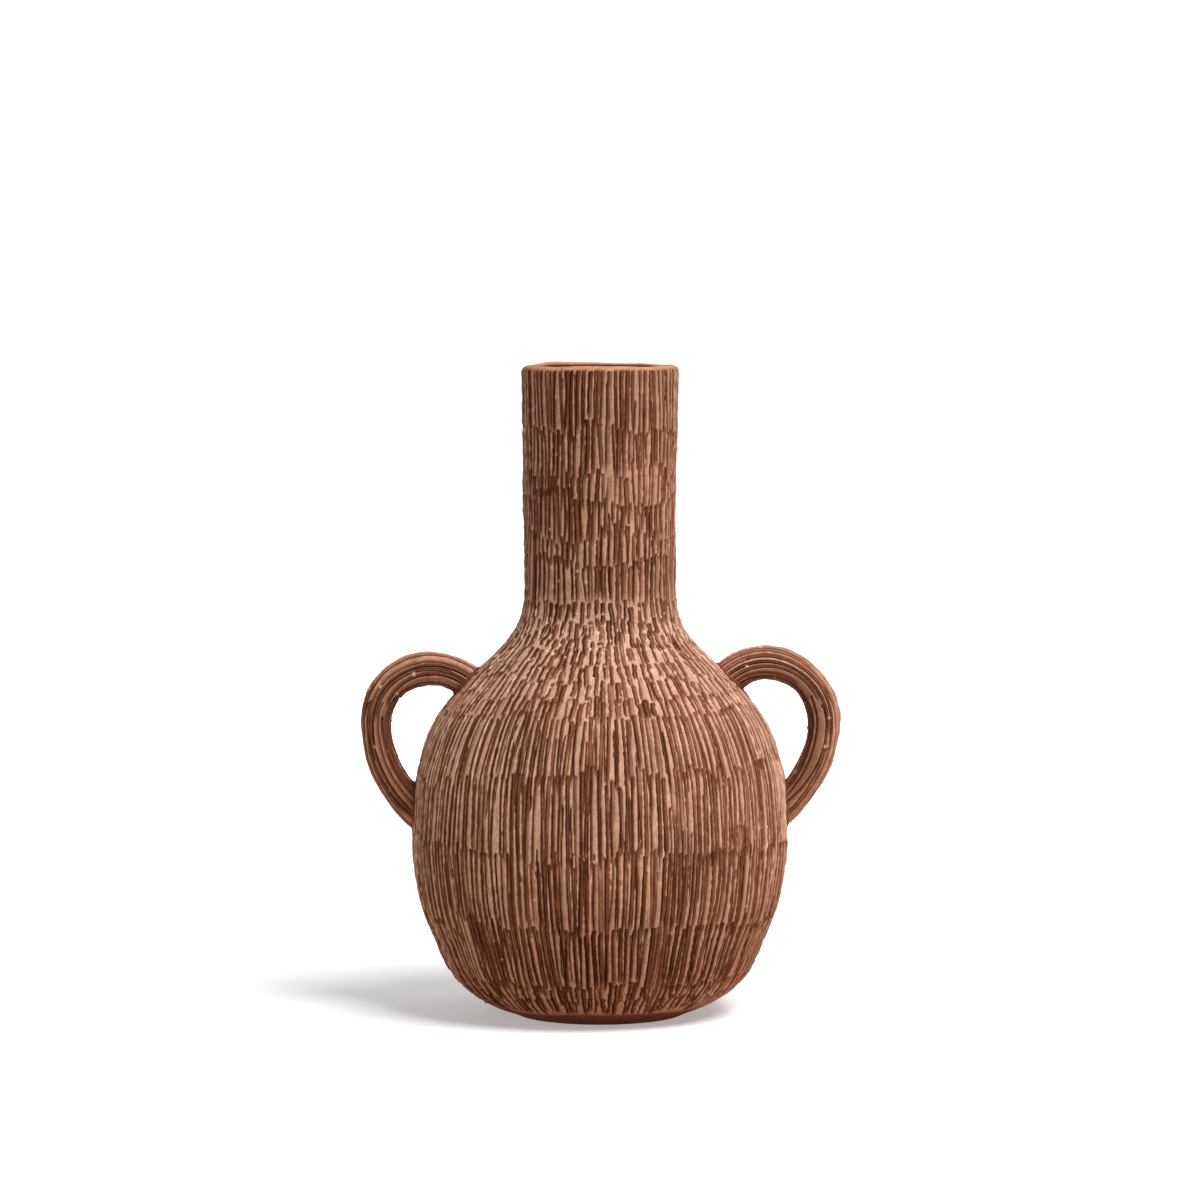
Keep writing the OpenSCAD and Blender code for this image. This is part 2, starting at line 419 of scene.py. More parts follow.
def one_stroke(pick, here, turn, wide, middle):
    """Cut in mm and thrown-up share near one stroke, which is steeper on its left wall."""
    offset = (turn - middle + 0.5) % 1 - 0.5
    down = pick["top"] - here
    share = down / pick["length"]
    rest = np.clip(pick["length"] - down, 0, None)
    tail = np.minimum(TAIL, TAIL_SHARE * pick["length"])
    x = (offset * wide - pick["slant"] * down
         - pick["bend"] * np.sin(3.0 * share + pick["phase"]) * ease(down / 3))
    blunt = np.sqrt(np.clip(down / BEGIN, 0, 1))
    ripple = 1 + pick["wobble"] * np.sin(1.5 * here + pick["phase"])
    half = pick["half"] * ripple * np.clip(2 * rest / tail, 0, 1) ** 0.8 * (0.4 + 0.6 * blunt)
    half = np.maximum(half, 0.05)
    deep = pick["depth"] * blunt * np.clip(rest / tail, 0, 1) ** 0.8
    live = (down > 0) & (share < 1)
    across = np.clip((x / half + 1) / 2, 0, 1)
    # The deepest line is at the left wall, a weaker one near the right, and one across the top.
    thin = LINE_WIDE / half
    second = np.maximum(pick["second"], 0.5 * np.exp(-((down - 1) / 3) ** 2))
    line = np.exp(-np.abs((across - pick["notch"]) / thin * 1.9) ** 3)
    line = np.maximum(line, second * np.exp(-((across - 0.82) / thin * 2) ** 2))
    line = np.maximum(line, (0.2 + pick["second"]) * np.exp(-(down / 0.9) ** 2))
    # Between them the floor of the stroke is a shelf that rises to the right.
    slope = pick["shelf"] * ease((1 - across) / 0.75)
    groove = np.where(live, deep * ease(across / pick["notch"]) * ease((1 - across) / 0.12)
                      * (slope + (1 - slope) * line), 0)
    # Clay is thrown up along both edges, and crumbs stay at the ends.
    side = np.where(x < 0, pick["burr"][0], pick["burr"][1])
    uneven = 0.7 + 0.3 * np.sin(here * 0.8 + pick["phase"] * 3)
    edge = np.exp(-((np.abs(x) - half - 0.1) / 0.34) ** 2)
    thrown = np.where(live, side * uneven * edge * ease(rest / tail), 0)
    end = np.exp(-(x / 0.7) ** 2 - ((share - 0.97) * pick["length"] / 0.7) ** 2)
    cap = np.exp(-(x / (half + 0.5)) ** 2 - ((down + 0.45) / 0.5) ** 2)
    return groove, thrown + pick["crumb"] * (1.3 * end + 0.8 * cap)


def body_rows(look):
    """Every row of strokes on the outside of the body."""
    rng = np.random.default_rng(look.seed)
    made = []
    for height, length, pitch, width, depth, ragged, scatter in (
            *NECK_ROWS, *SHOULDER_ROWS, *BELLY_ROWS, *SCRATCH_ROWS, CRUMB_ROW):
        around = 2 * math.pi * OUTSIDE.radius(height - 3)
        count = SAME_COUNT * round(around / pitch * look.crowding / SAME_COUNT)
        made.append(make_row(rng, count, OUTSIDE.find(height), length, width,
                             look.depth * depth, ragged, scatter, 0.5 * (len(made) % 2)))
    whole = len(NECK_ROWS) + len(SHOULDER_ROWS) + len(BELLY_ROWS)
    for row, following in zip(made, made[1:whole]):
        turn, other = ((np.arange(r["count"]) + r["shift"]) / r["count"] for r in (row, following))
        next_top = np.interp(turn, other, following["top"], period=1)
        run_on = row["length"] + rng.normal(0, 1.5, row["count"])
        row["length"] = np.clip(row["top"] - next_top + run_on, 4, None)
    # Of the last row's strokes, those with hardly a crumb are left out.
    given_up = made[-1]["crumb"] < 0.5
    made[-1]["depth"][given_up] = 0
    made[-1]["burr"][:, given_up] = 0
    return made


def lumps(rng, angle, along, radius, low, high, count, size):
    """Small blobs of clay dropped on the surface between two lengths, in mm of height."""
    total = np.zeros((len(along), len(angle)))
    for _ in range(count):
        where, at = rng.uniform(low, high), rng.uniform(0, 2 * math.pi)
        wide, tall, rise = rng.uniform(0.5, 1.2, 3) * size
        band = np.flatnonzero(np.abs(along - where) < 3 * tall + 1)
        if not len(band):
            continue
        x = ((angle - at + math.pi) % (2 * math.pi) - math.pi) * radius[band][:, None]
        blob = rise * np.exp(-(x / wide) ** 2 - ((along[band][:, None] - where) / tall) ** 2)
        total[band] = np.maximum(total[band], 0.7 * blob)
    return total


def striae(angle, along, around=540, every=9.0):
    """Fine random lines dragged down the clay, -1 to 1, fading into new ones every few mm."""
    rng = np.random.default_rng(3)
    lines = rng.normal(0, 0.5, (int(OUTSIDE.length / every) + 3, around))
    cell = angle / (2 * math.pi) * around
    left = np.floor(cell).astype(int)
    part = ease(cell - left)
    wide = lines[:, left % around] * (1 - part) + lines[:, (left + 1) % around] * part
    level = along / every
    below = level.astype(int)
    rise = ease(level - below)[:, None]
    return np.clip(wide[below] * (1 - rise) + wide[below + 1] * rise, -1, 1)


def body_relief(angle, along, look):
    """Relief of the carved outside in mm, with its cut and burr shares for the colour."""
    radius = OUTSIDE.at(along)[:, 0]
    cut, burr = carve(body_rows(look), angle, along, radius, look.burr)
    rng = np.random.default_rng(look.seed + 1)
    for low, high, count in LUMPS:
        burr = np.maximum(burr, lumps(rng, angle, along, radius, OUTSIDE.find(low),
                                      OUTSIDE.find(high), count, LUMP_SIZE))
    keep = (ease((along - OUTSIDE.find(FOOT_EDGE) + 1) / 2)
            * ease((OUTSIDE.find(CARVED_TO) - along) / 0.8))
    # The tool drags finer lines too, which are deeper inside the strokes than between them.
    cut = np.clip(cut + striae(angle, along) * np.where(cut > 0.05, 0.18, 0.1), 0, None)
    cut, burr = cut * keep[:, None], burr * keep[:, None]
    # The wall's own unevenness, left by the hands, fades out at the foot.
    a = angle[None, :]
    s = along[:, None]
    hand = (0.35 * np.sin(2 * a + 0.6 + 0.01 * s) + 0.22 * np.sin(3 * a + 0.035 * s + 2)
            + 0.16 * np.sin(5 * a - 0.05 * s + 1) + 0.1 * np.sin(9 * a + 0.11 * s)
            + 0.12 * np.sin(0.21 * s + 2.2 * np.sin(a)))
    hand = hand * ease((s - 1) / 14)
    return hand - cut + burr, cut / look.depth, burr / look.burr


# ------------------------ shared mesh building


def in_mm(group):
    """A settings group with its lengths in mm."""
    values = {}
    for key in group.__annotations__:
        value = getattr(group, key)
        is_length = group.bl_rna.properties[key].unit == "LENGTH"
        values[key] = value / MM if is_length else value
    return SimpleNamespace(**values)


def wrap(name, grid, values, material, node, creases=()):
    """A bmesh grid wrapped onto points (rows, columns, 3) in mm, closed, as a finished piece.

    The rows in creases keep sharp edges, and each of the values becomes an attribute.
    """
    rows, columns = grid.shape[0] - 1, grid.shape[1] - 1
    bm = bmesh.new()
    bmesh.ops.create_grid(bm, x_segments=columns, y_segments=rows, size=0.5)
    mesh = bpy.data.meshes.new(name)
    bm.to_mesh(mesh)
    bm.free()
    flat = np.empty(len(mesh.vertices) * 3, np.float32)
    mesh.vertices.foreach_get("co", flat)
    column = np.rint((flat[0::3] + 0.5) * columns).astype(int)
    row = np.rint((flat[1::3] + 0.5) * rows).astype(int)
    mesh.vertices.foreach_set("co", (grid[row, column] * MM).astype(np.float32).ravel())
    crease = mesh.attributes.new("crease_row", "INT", "POINT")
    crease.data.foreach_set("value", np.isin(row, creases).astype(np.int32))
    for key, value in values.items():
        layer = mesh.attributes.new(key, "FLOAT", "POINT")
        layer.data.foreach_set("value", value[row, column].astype(np.float32))
    close_and_smooth(mesh)
    mesh.materials.append(material)
    piece = bpy.data.objects.new(name, mesh)
    bpy.context.scene.collection.objects.link(piece)
    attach(piece, "root")
    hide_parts(node)
    return piece


def close_and_smooth(mesh):
    """Welds seams and poles, points the faces outwards and keeps the joint edges sharp."""
    bm = bmesh.new()
    bm.from_mesh(mesh)
    bmesh.ops.remove_doubles(bm, verts=bm.verts[:], dist=2e-6)
    bmesh.ops.dissolve_degenerate(bm, edges=bm.edges[:], dist=1e-7)
    bmesh.ops.recalc_face_normals(bm, faces=bm.faces[:])
    sharp = bm.verts.layers.int["crease_row"]
    for edge in bm.edges:
        if edge.verts[0][sharp] and edge.verts[1][sharp]:
            edge.smooth = False
    bm.verts.layers.int.remove(sharp)
    for face in bm.faces:
        face.smooth = True
    bm.to_mesh(mesh)
    bm.free()


def turned(points, angle):
    """Grid of points (rows, columns, 3) from radii and heights (rows, columns, 2)."""
    grid = np.stack([points[..., 0] * np.cos(angle), points[..., 0] * np.sin(angle),
                     points[..., 1]], -1)
    grid[:, -1] = grid[:, 0]
    return grid


LIP_ROWS = 13  # rows of cells from the top of the lip over to the mouth


def wall_ring(name, columns, outer_rows, inner_rows, outer, inner, material, slot, node):
    """A closed ring of wall between two lengths outside and two inside."""
    look = in_mm(bpy.context.scene.vase_carving)
    angle = np.linspace(0, 2 * math.pi, columns + 1)
    out = np.linspace(*outer, outer_rows)
    relief, cut, burr = body_relief(angle, out, look)
    shell = [OUTSIDE.at(out)[:, None] + relief[..., None] * OUTSIDE.facing(out)[:, None]]
    over_lip = outer[1] > OUTSIDE.length - 0.01
    if over_lip:
        degrees = np.linspace(90, 180, LIP_ROWS + 1)[1:, None]
        shell.append(lip(degrees, relief[-1:] * (1 - ease((degrees - 90) / 90))))
    back = np.linspace(inner[1], inner[0], inner_rows)[:, None]
    a = angle[None, :]
    # Finger marks run round the inside, and fade out below the rim.
    marks = (0.3 * np.sin(0.55 * back + 1.5 * np.sin(a) + np.sin(2 * a))
             + 0.2 * np.sin(3 * a + 0.08 * back)) * ease((INSIDE.length - back) / 12)
    facing = INSIDE.facing(back[:, 0])[:, None]
    shell.append(INSIDE.at(back[:, 0])[:, None] + marks[..., None] * facing)
    section = np.concatenate(shell + [shell[0][:1]])
    rest = np.zeros((len(section) - outer_rows, columns + 1))
    high = np.repeat(OUTSIDE.at(out)[:, 1:], columns + 1, 1)
    values = {
        "cut": np.concatenate([cut, rest]),
        "burr": np.concatenate([burr, rest]),
        # The inner wall takes the inside colour, painted shade.
        "inside": np.concatenate([0 * cut, rest + 1]),
        "rim": np.concatenate([ease((high - RIM_PLAIN) / 1.2), rest]),
        "foot": np.concatenate([1 - ease((high - FOOT_EDGE + 0.6) / 1.6), rest]),
    }
    if over_lip:
        over = slice(outer_rows, outer_rows + LIP_ROWS)
        # Past the top of the lip the rim gives way to the painted shade of the mouth.
        mouth_shade = ease((degrees - 112) / 24)  # the pale rim ends past the top of the lip
        values["rim"][over] = 1 - mouth_shade
        values["inside"][over] = mouth_shade
    for value in values.values():
        value[-1] = value[0]
    creases = [0, len(section) - 2, len(section) - 1]
    if not over_lip:
        creases += [outer_rows - 1, outer_rows]
    return wrap(name, turned(section, angle), values, material, node, creases)


# ------------------------ materials


def add_node(tree, kind, settings=None, links=None):
    """Adds a shader node, sets its properties and sockets, and links its inputs."""
    node = tree.nodes.new(kind)
    for key, value in (settings or {}).items():
        if isinstance(key, str) and hasattr(node, key):
            setattr(node, key, value)
        else:
            node.inputs[key].default_value = value
    for key, source in (links or {}).items():
        tree.links.new(source, node.inputs[key])
    return node


def opaque(colour):
    """A colour with full alpha."""
    return (*colour[:3], 1.0)


def attribute(tree, name, low, high):
    """Share from 0 to 1 of a value kept on the mesh, as it goes from low to high."""
    source = add_node(tree, "ShaderNodeAttribute", {"attribute_name": name}).outputs["Fac"]
    return add_node(tree, "ShaderNodeMapRange", {"From Min": low, "From Max": high},
                    {"Value": source}).outputs["Result"]


def blend(tree, share, under, over):
    """Mixes a colour over the colour so far."""
    return add_node(tree, "ShaderNodeMix", {"data_type": "RGBA", 7: opaque(over)},
                    {0: share, 6: under}).outputs[2]


def noise(tree, place, size, detail):
    """Noise whose blobs are about size metres across."""
    return add_node(tree, "ShaderNodeTexNoise", {"Scale": 1 / size, "Detail": detail},
                    {"Vector": place}).outputs["Fac"]


# Painted shade by height, for a light from above: height in m and a tint that multiplies the colour
# there.
PAINTED_HEIGHT_SHADES = ((0.0, "#b09484"), (0.05, "#cdbbae"), (0.09, "#e8ded6"), (0.14, "#f2ece8"),
               (0.18, "#ffffff"), (0.2, "#d6cbc3"), (0.3, "#cdc1b9"))


def painted_height_shade(tree, place, body):
    """Tints a colour by height, as painted shade: reddish and dark at the foot, palest on the shoulder.
    """
    height = add_node(tree, "ShaderNodeSeparateXYZ", links={"Vector": place}).outputs["Z"]
    highest = PAINTED_HEIGHT_SHADES[-1][0]
    share = add_node(tree, "ShaderNodeMapRange", {"From Max": highest}, {"Value": height})
    ramp = add_node(tree, "ShaderNodeValToRGB", links={"Fac": share.outputs["Result"]})
    stops = ramp.color_ramp.elements
    for (at, shade), stop in zip(PAINTED_HEIGHT_SHADES, (stops[0], stops[1])):
        stop.position, stop.color = at / highest, opaque(linear(shade))
    for at, shade in PAINTED_HEIGHT_SHADES[2:]:
        stops.new(at / highest).color = opaque(linear(shade))
    return add_node(tree, "ShaderNodeVectorMath", {"operation": "MULTIPLY"},
                    {0: body, 1: ramp.outputs["Color"]}).outputs["Vector"]


def fired_clay(name, top, mottle=0.14, grit=0.5, dents=0.5):
    """Unglazed fired terracotta: dry, dull and sandy, with painted shade in the strokes and painted
    highlights.
    """
    if name in bpy.data.materials:
        return bpy.data.materials[name]
    clay = bpy.context.scene.vase_clay
    material = bpy.data.materials.new(name)
    material.use_nodes = True
    tree = material.node_tree
    shader = tree.nodes["Principled BSDF"]
    place = add_node(tree, "ShaderNodeTexCoord").outputs["Object"]
    # Kiln clouds 45 mm across, blotches of 3.5 mm, sand grains of 0.9 mm drawn twice their size.
    cloud = noise(tree, place, 0.045, 2.0)
    blotch = noise(tree, place, 0.0035, 4.0)
    sand = noise(tree, place, 0.0009, 2.0)
    # The clay turns to the groove's colour, painted shade, over the first third of the full depth of a
    # stroke, and to the colour of the deepest lines, painted shadow, between 44% and 80% of it.
    body = add_node(tree, "ShaderNodeMix", {"data_type": "RGBA", 6: opaque(top),
                                            7: opaque(clay.groove)},
                    {0: attribute(tree, "cut", 0.02, 0.35)}).outputs[2]
    body = blend(tree, attribute(tree, "cut", 0.44, 0.8), body, clay.scored)
    # Painted highlight: the burrs, crumbs, lumps and the drop turn to the pale burr colour.
    body = blend(tree, attribute(tree, "burr", 0.15, 1.2), body, clay.burr)
    # The inside colour is painted shade, inside the vase, in the mouth and on the handles.
    for layer, colour in (("inside", clay.inside), ("rim", clay.rim), ("foot", clay.foot)):
        body = blend(tree, attribute(tree, layer, 0.0, 1.0), body, colour)
    for source, low, high in ((cloud, 1 - mottle, 1 + mottle), (blotch, 0.8, 1.2),
                              (sand, 0.78, 1.22)):
        level = add_node(tree, "ShaderNodeMapRange", {"From Min": 0.25, "From Max": 0.75,
                                                      "To Min": low, "To Max": high},
                         {"Value": source}).outputs["Result"]
        body = add_node(tree, "ShaderNodeVectorMath", {"operation": "SCALE"},
                        {0: body, "Scale": level}).outputs["Vector"]
    body = painted_height_shade(tree, place, body)
    tree.links.new(body, shader.inputs["Base Color"])
    grain = add_node(tree, "ShaderNodeBump", {"Strength": grit, "Distance": 0.0002},
                     {"Height": sand})
    pits = add_node(tree, "ShaderNodeBump", {"Strength": dents, "Distance": 0.0006},
                    {"Height": blotch, "Normal": grain.outputs["Normal"]})
    tree.links.new(pits.outputs["Normal"], shader.inputs["Normal"])
    shader.inputs["Roughness"].default_value = 0.93
    shader.inputs["Specular IOR Level"].default_value = 0.03
    return material


def gouged_terracotta():
    """Gouged with a wire loop while leather hard: sandy ridges, and strokes darkened with painted shade.
    """
    return fired_clay("terracotta_gouged", bpy.context.scene.vase_clay.ridge)


def scored_terracotta():
    """Pulled handle clay scored lengthwise with a comb: long lines of painted shadow, and pale crests.
    """
    return fired_clay("terracotta_scored", bpy.context.scene.vase_clay.handle)


def smoothed_terracotta():
    """Smoothed with a wet finger: finer sand and shallow dents, at the rim and the foot."""
    return fired_clay("terracotta_smoothed", bpy.context.scene.vase_clay.ridge, 0.08, 0.35, 0.35)


def luted_terracotta():
    """Soft clay pressed into a joint with slip: darker, lumpy and half smoothed."""
    return fired_clay("terracotta_luted", bpy.context.scene.vase_clay.luting, 0.12, 0.5, 0.8)


def shaded_wiped_terracotta():
    """Clay inside the vase, wiped with a damp sponge: hardly any sand, and dark as painted shade."""
    return fired_clay("terracotta_wiped_painted_shade", bpy.context.scene.vase_clay.inside, 0.1, 0.25, 0.4)


# ------------------------ wall courses, neck and rim


def joint_spans():
    """For each ring of wall, its ends as lengths on the outside and on the inside."""
    rings = (*COURSES, "neck_cylinder", "rim_coil")
    low = {node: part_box(node)[0].z / MM for node in rings}
    spans = {}
    inner_start = INSIDE.find(FLOOR_TOP)
    for node, above in zip(rings, (*rings[1:], None)):
        outer_end, inner_end = OUTSIDE.length, INSIDE.length
        if above:
            outer_end, inner_end = OUTSIDE.find(low[above]), INSIDE.find(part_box(node)[1].z / MM)
        spans[node] = (OUTSIDE.find(low[node]), outer_end), (inner_start, inner_end)
        inner_start = inner_end
    return spans


class VASE_OT_courses(bpy.types.Operator):
    """Build the five carved wall courses"""

    bl_idname = "vase.build_courses"
    bl_label = "Build Wall Courses"

    def execute(self, context):
        """Each course runs from its own joint to the next, sharing one field of strokes."""
        cells = {"base_wall": (1080, 50), "lower_wall": (1320, 60), "belly_wall": (1320, 62),
                 "upper_belly_wall": (1320, 64), "shoulder_wall": (940, 96)}
        for node, (columns, rows) in cells.items():
            wall_ring(f"{node}_carved", columns, rows, 8, *joint_spans()[node],
                      gouged_terracotta(), "carved_clay", node)
        return {"FINISHED"}


class VASE_OT_neck(bpy.types.Operator):
    """Build the carved neck"""

    bl_idname = "vase.build_neck"
    bl_label = "Build Neck"

    def execute(self, context):
        """The neck is one tall ring that takes six rows of strokes."""
        wall_ring("neck_cylinder_carved", NECK_COLUMNS, 146, 20, *joint_spans()["neck_cylinder"],
                  gouged_terracotta(), "carved_clay", "neck_cylinder")
        return {"FINISHED"}


class VASE_OT_rim(bpy.types.Operator):
    """Build the smoothed rim coil"""

    bl_idname = "vase.build_rim"
    bl_label = "Build Rim"

    def execute(self, context):
        """The strokes run up to the lip, which is rounded over into the mouth."""
        wall_ring("rim_coil_smoothed", NECK_COLUMNS, 26, 6, *joint_spans()["rim_coil"],
                  smoothed_terracotta(), "bare_clay", "rim_coil")
        return {"FINISHED"}


# ------------------------ floor of the vase


def radial(start, end, count):
    """Points of a section line between two (radius, height) points."""
    share = np.linspace(0, 1, count)[:, None]
    return np.array(start) * (1 - share) + np.array(end) * share


class VASE_OT_base(bpy.types.Operator):
    """Build the floor slab and the coil pressed into its corner"""

    bl_idname = "vase.build_base"
    bl_label = "Build Base"

    def execute(self, context):
        """The slab is turned in one loop from pole to pole, and the coil is a soft fillet."""
        build_slab()
        build_seam_coil()
        return {"FINISHED"}


HOLLOW = 0.7  # how far the underside is hollowed, in mm
TRIM_RINGS = 0.12  # height of the rings left where the slab was cut free and trimmed, in mm


def build_slab():
    """Flat slab with a plain edge, a trimmed underside and a wiped top in painted shade."""
    columns = 480
    angle = np.linspace(0, 2 * math.pi, columns + 1)
    look = in_mm(bpy.context.scene.vase_carving)
    edge_end = joint_spans()["base_wall"][0][0]
    along = np.linspace(0, edge_end, 18)
    relief = body_relief(angle, along, look)[0]
    corner = INSIDE.points[0]
    foot = OUTSIDE.points[0]
    under = np.repeat(radial((0, 0), foot, 46)[:-1, None], columns + 1, 1)
    reach = under[..., 0] / foot[0]
    under[..., 1] += HOLLOW * (1 - reach ** 4) * ease((1 - reach) * 8)
    under[..., 1] += (TRIM_RINGS * np.sin(under[..., 0] * 2.4 + 1.5 * np.sin(angle))
                      * ease((1 - reach) * 6) * ease(reach * 4))
    side = OUTSIDE.at(along)[:, None] + relief[..., None] * OUTSIDE.facing(along)[:, None]
    top = np.repeat(radial(corner, (0, FLOOR_TOP), 30)[:, None], columns + 1, 1)
    section = np.concatenate([under, side, top])
    first_top = len(under) + len(side)
    # The top, inside the vase, takes the inside colour, painted shade.
    inside = np.zeros(section.shape[:2])
    inside[first_top:] = 1
    values = {"inside": inside, "foot": 1 - inside}
    wrap("floor_slab_smoothed", turned(section, angle), values, smoothed_terracotta(),
         "floor_slab", [len(under), first_top - 1, first_top])


def build_seam_coil():
    """Coil pressed into the corner between floor and wall, hollowed by a fingertip."""
    columns = 360
    angle = np.linspace(0, 2 * math.pi, columns + 1)
    points = node_points("floor_seam_coil")
    inner_r = np.hypot(points[:, 0], points[:, 1]).min()
    wall = INSIDE.at(np.linspace(0, INSIDE.find(points[:, 2].max()), 8))
    share = np.linspace(0, 1, 10)[1:]
    start, end = wall[-1], np.array([inner_r, FLOOR_TOP])
    middle = (start + end + wall[0]) / 3
    face = np.array([(1 - t) ** 2 * start + 2 * t * (1 - t) * middle + t * t * end for t in share])
    base = radial(end, wall[0], 6)[1:]
    section = np.repeat(np.concatenate([wall, face, base])[:, None], columns + 1, 1)
    presses = 0.35 * np.sin(23 * angle + 2 * np.sin(3 * angle)) * np.sin(math.pi * share)[:, None]
    section[len(wall):len(wall) + len(face), :, 1] += presses
    wrap("floor_seam_coil_pressed", turned(section, angle), {}, shaded_wiped_terracotta(),
         "floor_seam_coil")


# ------------------------ handles and their luting


SUNK = 2.0  # how far a handle's end goes into the wall, in mm
# Rows of scores down a handle: where they start from the outermost point, their length in mm
# and how many there are round the bar.
SCORES = ((84, 88, 19), (52, 60, 5), (14, 74, 19), (-8, 40, 5))
SCORE_WIDE = 2.1  # width of a score in mm
BAR_COLUMNS = 250
BAR_ROWS = 300
# A drop of clay left on the right handle: its turn round the bar in radians, its place along the
# bar in degrees, its half width in radians, and its half length and its height in mm.
DROP_TURN, DROP_AT, DROP_ROUND, DROP_ALONG, DROP_HIGH = 0.35, 44, 0.1625, 1.6, 1.3


class Bar:
    """One handle as a bar that follows its two bends; angles in radians, 0 furthest out."""

    low, high = math.radians(-64), math.radians(158)
    roots = math.radians(-50), math.radians(134)  # where the bar leaves the wall
    swelling = 0.12  # how much thicker than its middle the bar is at its roots
    # Each side is set one by one: the upper root lies a little low or high, and the lower one is
    # tucked in or not.
    lifts = {"left": -1.3, "right": 2.0}
    tucks = {"left": 0.0, "right": 1.6}

    def __init__(self, side, sign):
        size = in_mm(bpy.context.scene.vase_handle)
        self.sign, self.size = sign, size
        self.lift, self.tuck = self.lifts[side], self.tucks[side]
        self.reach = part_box(f"{side}_handle")[1 if sign > 0 else 0].x / MM * sign - size.thickness / 2

    def bend(self, a):
        """Radius of the bend at an angle."""
        return np.where(a > 0, self.size.upper_bend, self.size.lower_bend)

    def along(self, a):
        """Length in mm from the outermost point, upwards."""
        return a * self.bend(a)

    def surface(self, a, turn, relief=0.0):
        """Points on the bar, its section being a full oval that swells towards the roots."""
        radius = self.bend(a)
        to_root = np.where(a > 0, a / self.roots[1], a / self.roots[0])
        uneven = 0.025 * np.sin(3.1 * a + 2 * self.sign)
        swell = 1 + self.swelling * np.clip(to_root, 0, 1.2) ** 3 + uneven
        out = self.size.thickness / 2 * swell + relief
        deep = self.size.width / 2 * swell + relief
        reach = radius + out * np.cos(turn)
        x = self.reach - radius + reach * np.cos(a) - self.tuck * ease(-a / 0.85)
        z = self.size.height + reach * np.sin(a) + self.lift * ease(a / 2.2)
        return np.stack([self.sign * x, deep * np.sin(turn) + 0 * x, z], -1)

    def exits(self, turn, depth):
        """Angles at which each line along the bar comes out of the wall, below and above."""
        a = np.linspace(self.low, self.high, 1600)[:, None]
        points = self.surface(a, turn[None, :])
        height = points[..., 2]
        gap = np.hypot(points[..., 0], points[..., 1]) - OUTSIDE.radius(height) + depth
        clear = gap > 0
        centre = len(a) // 3
        above = centre + np.argmin(clear[centre:], 0)
        below = centre - np.argmin(clear[centre::-1], 0)
        return a[below, 0], a[above, 0]


def pole(points):
    """Row of points all at the middle of another row."""
    return np.repeat(points[:, :-1].mean(1, keepdims=True), points.shape[1], 1)


def build_handle(side, sign):
    """Handle with long wandering scores; its ends follow the wall, a little sunk in."""
    look = in_mm(bpy.context.scene.vase_carving)
    bar = Bar(side, sign)
    turn = np.linspace(0, 2 * math.pi, BAR_COLUMNS + 1)
    start = bar.along(bar.low)
    length = np.arange(start, bar.along(bar.high), 0.4)
    rng = np.random.default_rng(look.seed + 10 + sign)
    scores = []
    for top, run, count in SCORES:
        row = make_row(rng, count, top, run, SCORE_WIDE, look.score_depth, 0.4)
        row["top"] += rng.normal(0, 5, count)
        row["bend"] = rng.normal(0, 0.9, count)
        row["slant"] = rng.normal(0, 0.012, count)
        row["shift"] += rng.normal(0, 0.1, count)
        scores.append(row)
    girth = np.full(len(length), (bar.size.thickness + bar.size.width) / 4)
    cut, burr = carve(scores, turn, length, girth, look.burr)
    burr = np.maximum(burr, lumps(rng, turn, length, girth, start, length[-1], 26, 0.8))
    if sign > 0:
        drop_at = bar.along(math.radians(DROP_AT))
        drop = np.exp(-((turn - DROP_TURN) / DROP_ROUND) ** 2
                      - ((length[:, None] - drop_at) / DROP_ALONG) ** 2)
        burr = np.maximum(burr, DROP_HIGH * drop)
    below, above = bar.exits(turn, SUNK)
    share = np.linspace(0, 1, BAR_ROWS)[:, None]
    a = below + (above - below) * share
    at = bar.along(a)
    cut, burr = (np.array([np.interp(at[:, i], length, field[:, i])
                           for i in range(BAR_COLUMNS + 1)]).T for field in (cut, burr))
    hand = 0.18 * np.sin(0.23 * at + 2 * np.sin(turn)) + 0.15 * np.sin(2 * turn + 0.06 * at)
    grid = bar.surface(a, turn[None, :], hand - cut + burr)
    grid[:, -1] = grid[:, 0]
    grid = np.concatenate([pole(grid[:1]), grid, pole(grid[-1:])])
    pad = np.zeros((1, BAR_COLUMNS + 1))
    # Painted shade: the crests are darker in the bend and on the lower half, away from the light.
    painted_shade = 0.55 * ease(0.35 - 0.8 * np.cos(turn)) + 0.4 * ease((25 - at) / 60)
    values = {"cut": np.concatenate([pad, cut, pad]) / look.score_depth,
              "burr": np.concatenate([pad, burr, pad]) / look.burr,
              "inside": np.concatenate([pad, np.minimum(painted_shade, 0.62), pad])}
    wrap(f"{side}_handle_scored", grid, values, scored_terracotta(),
         f"{side}_handle", (1, len(grid) - 2))


LUTE_WIDE = 2.3  # how far the luting clay spreads over the wall, in mm
LUTE_TALL = 2.2  # how far it runs up the bar, in mm
FILLET_ROWS = 12
STEP_OFF = 0.09  # a short way along the bar from the wall, in radians


